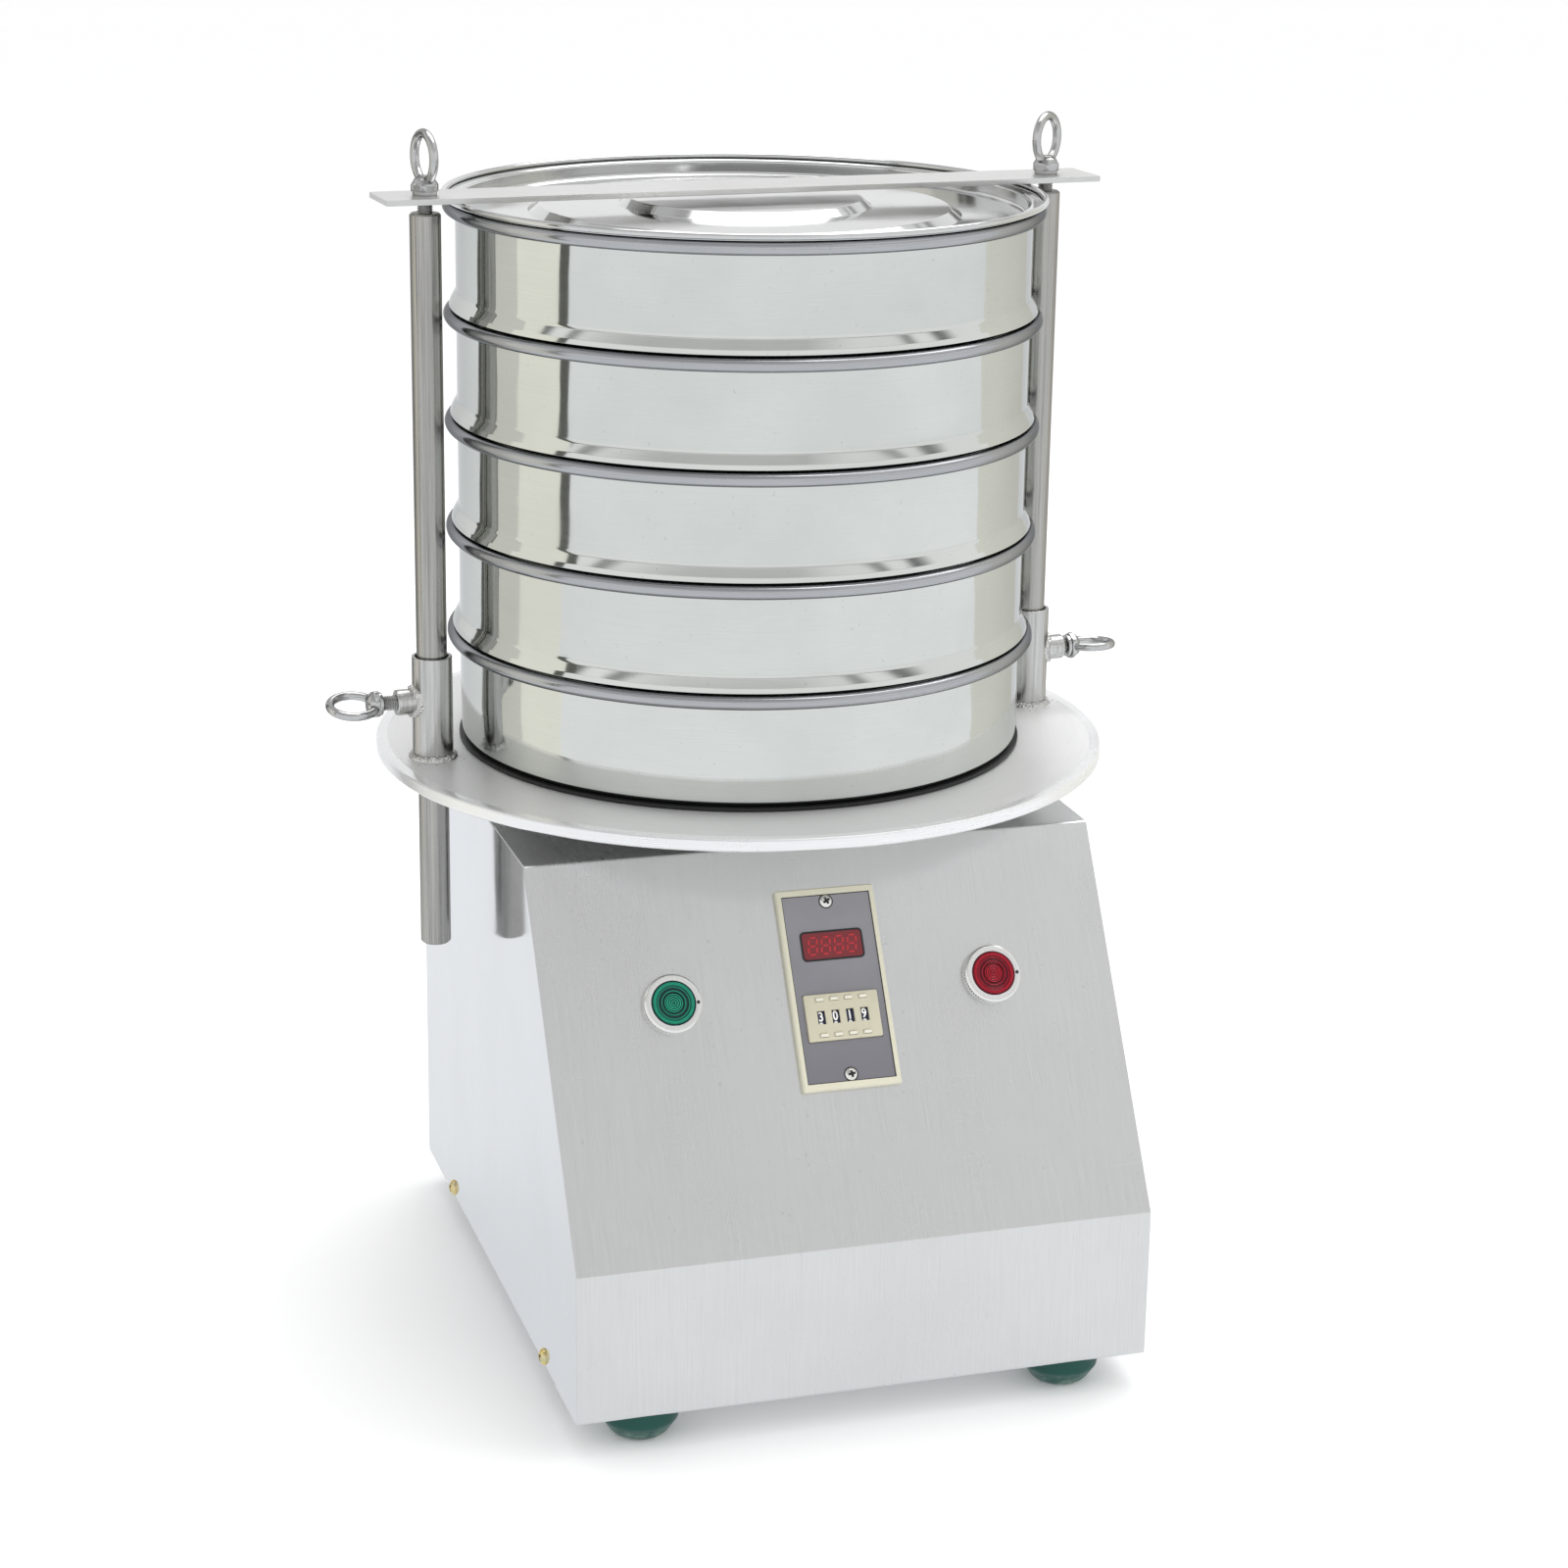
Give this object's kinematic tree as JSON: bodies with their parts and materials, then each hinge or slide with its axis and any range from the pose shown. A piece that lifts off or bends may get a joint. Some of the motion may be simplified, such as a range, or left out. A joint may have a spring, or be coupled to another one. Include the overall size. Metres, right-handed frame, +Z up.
{
  "type": "vibrating sieve",
  "caption": "Bench-top vibrating sieve: stacked round sieves with lid and pan clamped on a sprung shaking plate above a sloped steel housing with timer and start and stop buttons.",
  "frame": {"origin": "on the floor under the centre of the whole object's box", "axes": "+Z up; the front with the sloping control panel faces -Y; +X to the right seen from the front"},
  "size_m": [0.4518, 0.4377, 0.6258],
  "materials": {
    "housing_steel": "satin brushed stainless sheet",
    "side_steel": "bright smooth stainless sheet",
    "plate_steel": "satin turned stainless plate",
    "vessel_steel": "polished stainless sheet",
    "cloth_steel": "woven stainless wire",
    "rod_steel": "drawn stainless bar and tube",
    "eye_chrome": "bright polished metal",
    "zinc_yellow": "yellow zinc plating",
    "zinc_plain": "plain zinc plating",
    "inner_steel": "bare mild steel, grey primer",
    "motor_paint": "grey motor paint",
    "bearing_steel": "ground steel",
    "foot_rubber": "dark green rubber",
    "black_rubber": "black rubber",
    "gland_plastic": "black nylon",
    "cream_plastic": "cream moulded plastic",
    "black_plastic": "black moulded plastic",
    "face_grey": "grey printed face",
    "display_red": "dark red display window",
    "lens_green": "clear green lens",
    "lens_red": "clear red lens"
  },
  "bodies": {
    "base": {"front_cover": "housing_steel", "left_side_panel": "side_steel", "right_side_panel": "side_steel", "back_panel": "housing_steel", "bottom_plate": "inner_steel", "side_screws": "zinc_yellow", "rubber_feet": "foot_rubber", "foot_fasteners": "zinc_plain", "cable_gland": "gland_plastic", "motor_shelf": "inner_steel", "rubber_buffers": "black_rubber", "buffer_fasteners": "zinc_plain", "timer_housing": "black_plastic", "timer_bezel": "cream_plastic", "timer_face": "face_grey", "display_window": "display_red", "timer_screws": "eye_chrome", "thumbwheel_block": "cream_plastic", "button_rings": "eye_chrome", "button_bodies": "black_plastic"},
    "platform": {"motor_carrier": "inner_steel", "carrier_fasteners": "zinc_plain", "motor_housing": "motor_paint", "motor_bearings": "bearing_steel", "vibrating_plate": "plate_steel", "clamp_sleeves": "rod_steel", "pan_mat": "black_rubber"},
    "rotor": {"rotor_shaft": "bearing_steel", "eccentric_weights": "bearing_steel"},
    "pan": {"receiving_pan": "vessel_steel"},
    "lid": {"lid": "vessel_steel"},
    "crossbar": {"crossbar": "rod_steel"},
    "start_button": {"start_button": "lens_green"},
    "stop_button": {"stop_button": "lens_red"},
    "left_clamp_rod": {"left_clamp_rod": "rod_steel"},
    "left_eye_bolt": {"left_eye_bolt": "eye_chrome"},
    "left_eye_nut": {"left_eye_nut": "eye_chrome"},
    "right_clamp_rod": {"right_clamp_rod": "rod_steel"},
    "right_eye_bolt": {"right_eye_bolt": "eye_chrome"},
    "right_eye_nut": {"right_eye_nut": "eye_chrome"},
    "sieve_4": {"sieve_frame_4": "vessel_steel", "wire_cloth_4": "cloth_steel"},
    "sieve_3": {"sieve_frame_3": "vessel_steel", "wire_cloth_3": "cloth_steel"},
    "sieve_2": {"sieve_frame_2": "vessel_steel", "wire_cloth_2": "cloth_steel"},
    "sieve_1": {"sieve_frame_1": "vessel_steel", "wire_cloth_1": "cloth_steel"},
    "digit_wheel_1": {"digit_wheel_1": "black_plastic"},
    "plus_tab_1": {"plus_tab_1": "cream_plastic"},
    "minus_tab_1": {"minus_tab_1": "cream_plastic"},
    "digit_wheel_2": {"digit_wheel_2": "black_plastic"},
    "plus_tab_2": {"plus_tab_2": "cream_plastic"},
    "minus_tab_2": {"minus_tab_2": "cream_plastic"},
    "digit_wheel_3": {"digit_wheel_3": "black_plastic"},
    "plus_tab_3": {"plus_tab_3": "cream_plastic"},
    "minus_tab_3": {"minus_tab_3": "cream_plastic"},
    "digit_wheel_4": {"digit_wheel_4": "black_plastic"},
    "plus_tab_4": {"plus_tab_4": "cream_plastic"},
    "minus_tab_4": {"minus_tab_4": "cream_plastic"}
  },
  "joints": [
    {"name": "plate_shake", "type": "slide", "parent": "base", "child": "platform", "axis": [0, 0, 1], "range_m": [-0.0015, 0.0015], "stiffness_N_per_m": 90000, "springref_m": 0.00238, "deforming": ["rubber_buffers"]},
    {"name": "motor_spin", "type": "hinge", "parent": "platform", "child": "rotor", "pos_m": [0.00239, 0.02255, 0.2], "axis": [0, 0, 1], "continuous": true},
    {"name": "left_rod_slide", "type": "slide", "parent": "platform", "child": "left_clamp_rod", "axis": [0, 0, 1], "range_m": [-0.165, 0.005]},
    {"name": "left_eye_bolt_turn", "type": "hinge", "parent": "platform", "child": "left_eye_bolt", "pos_m": [-0.18893, 0.01051, 0.329], "axis": [-0.998, -0.0628, 0], "continuous": true},
    {"name": "right_rod_slide", "type": "slide", "parent": "platform", "child": "right_clamp_rod", "axis": [0, 0, 1], "range_m": [-0.165, 0.005]},
    {"name": "right_eye_bolt_turn", "type": "hinge", "parent": "platform", "child": "right_eye_bolt", "pos_m": [0.19372, 0.03459, 0.329], "axis": [0.998, 0.0628, 0], "continuous": true},
    {"name": "pan_lift", "type": "slide", "parent": "platform", "child": "pan", "axis": [0, 0, 1], "range_m": [0, 0.08]},
    {"name": "sieve_4_lift", "type": "slide", "parent": "pan", "child": "sieve_4", "axis": [0, 0, 1], "range_m": [0, 0.08]},
    {"name": "sieve_3_lift", "type": "slide", "parent": "sieve_4", "child": "sieve_3", "axis": [0, 0, 1], "range_m": [0, 0.08]},
    {"name": "sieve_2_lift", "type": "slide", "parent": "sieve_3", "child": "sieve_2", "axis": [0, 0, 1], "range_m": [0, 0.08]},
    {"name": "sieve_1_lift", "type": "slide", "parent": "sieve_2", "child": "sieve_1", "axis": [0, 0, 1], "range_m": [0, 0.08]},
    {"name": "lid_lift", "type": "slide", "parent": "sieve_1", "child": "lid", "axis": [0, 0, 1], "range_m": [0, 0.08]},
    {"name": "crossbar_lift", "type": "slide", "parent": "lid", "child": "crossbar", "axis": [0, 0, 1], "range_m": [0, 0.06]},
    {"name": "left_eye_nut_turn", "type": "hinge", "parent": "crossbar", "child": "left_eye_nut", "pos_m": [-0.16897, 0.01177, 0.5969], "axis": [0, 0, 1], "continuous": true},
    {"name": "right_eye_nut_turn", "type": "hinge", "parent": "crossbar", "child": "right_eye_nut", "pos_m": [0.17376, 0.03333, 0.5969], "axis": [0, 0, 1], "continuous": true},
    {"name": "start_press", "type": "slide", "parent": "base", "child": "start_button", "axis": [0, 0.8521, -0.5234], "range_m": [0, 0.002], "stiffness_N_per_m": 400},
    {"name": "stop_press", "type": "slide", "parent": "base", "child": "stop_button", "axis": [0, 0.8521, -0.5234], "range_m": [0, 0.002], "stiffness_N_per_m": 400},
    {"name": "digit_wheel_1_turn", "type": "hinge", "parent": "base", "child": "digit_wheel_1", "pos_m": [-0.00708, -0.15323, 0.19354], "axis": [1, 0, 0], "continuous": true},
    {"name": "plus_tab_1_press", "type": "slide", "parent": "base", "child": "plus_tab_1", "axis": [0, 0.8521, -0.5234], "range_m": [0, 0.001], "stiffness_N_per_m": 100},
    {"name": "minus_tab_1_press", "type": "slide", "parent": "base", "child": "minus_tab_1", "axis": [0, 0.8521, -0.5234], "range_m": [0, 0.001], "stiffness_N_per_m": 100},
    {"name": "digit_wheel_2_turn", "type": "hinge", "parent": "base", "child": "digit_wheel_2", "pos_m": [0.00057, -0.15323, 0.19354], "axis": [1, 0, 0], "continuous": true},
    {"name": "plus_tab_2_press", "type": "slide", "parent": "base", "child": "plus_tab_2", "axis": [0, 0.8521, -0.5234], "range_m": [0, 0.001], "stiffness_N_per_m": 100},
    {"name": "minus_tab_2_press", "type": "slide", "parent": "base", "child": "minus_tab_2", "axis": [0, 0.8521, -0.5234], "range_m": [0, 0.001], "stiffness_N_per_m": 100},
    {"name": "digit_wheel_3_turn", "type": "hinge", "parent": "base", "child": "digit_wheel_3", "pos_m": [0.00822, -0.15323, 0.19354], "axis": [1, 0, 0], "continuous": true},
    {"name": "plus_tab_3_press", "type": "slide", "parent": "base", "child": "plus_tab_3", "axis": [0, 0.8521, -0.5234], "range_m": [0, 0.001], "stiffness_N_per_m": 100},
    {"name": "minus_tab_3_press", "type": "slide", "parent": "base", "child": "minus_tab_3", "axis": [0, 0.8521, -0.5234], "range_m": [0, 0.001], "stiffness_N_per_m": 100},
    {"name": "digit_wheel_4_turn", "type": "hinge", "parent": "base", "child": "digit_wheel_4", "pos_m": [0.01587, -0.15323, 0.19354], "axis": [1, 0, 0], "continuous": true},
    {"name": "plus_tab_4_press", "type": "slide", "parent": "base", "child": "plus_tab_4", "axis": [0, 0.8521, -0.5234], "range_m": [0, 0.001], "stiffness_N_per_m": 100},
    {"name": "minus_tab_4_press", "type": "slide", "parent": "base", "child": "minus_tab_4", "axis": [0, 0.8521, -0.5234], "range_m": [0, 0.001], "stiffness_N_per_m": 100}
  ]
}
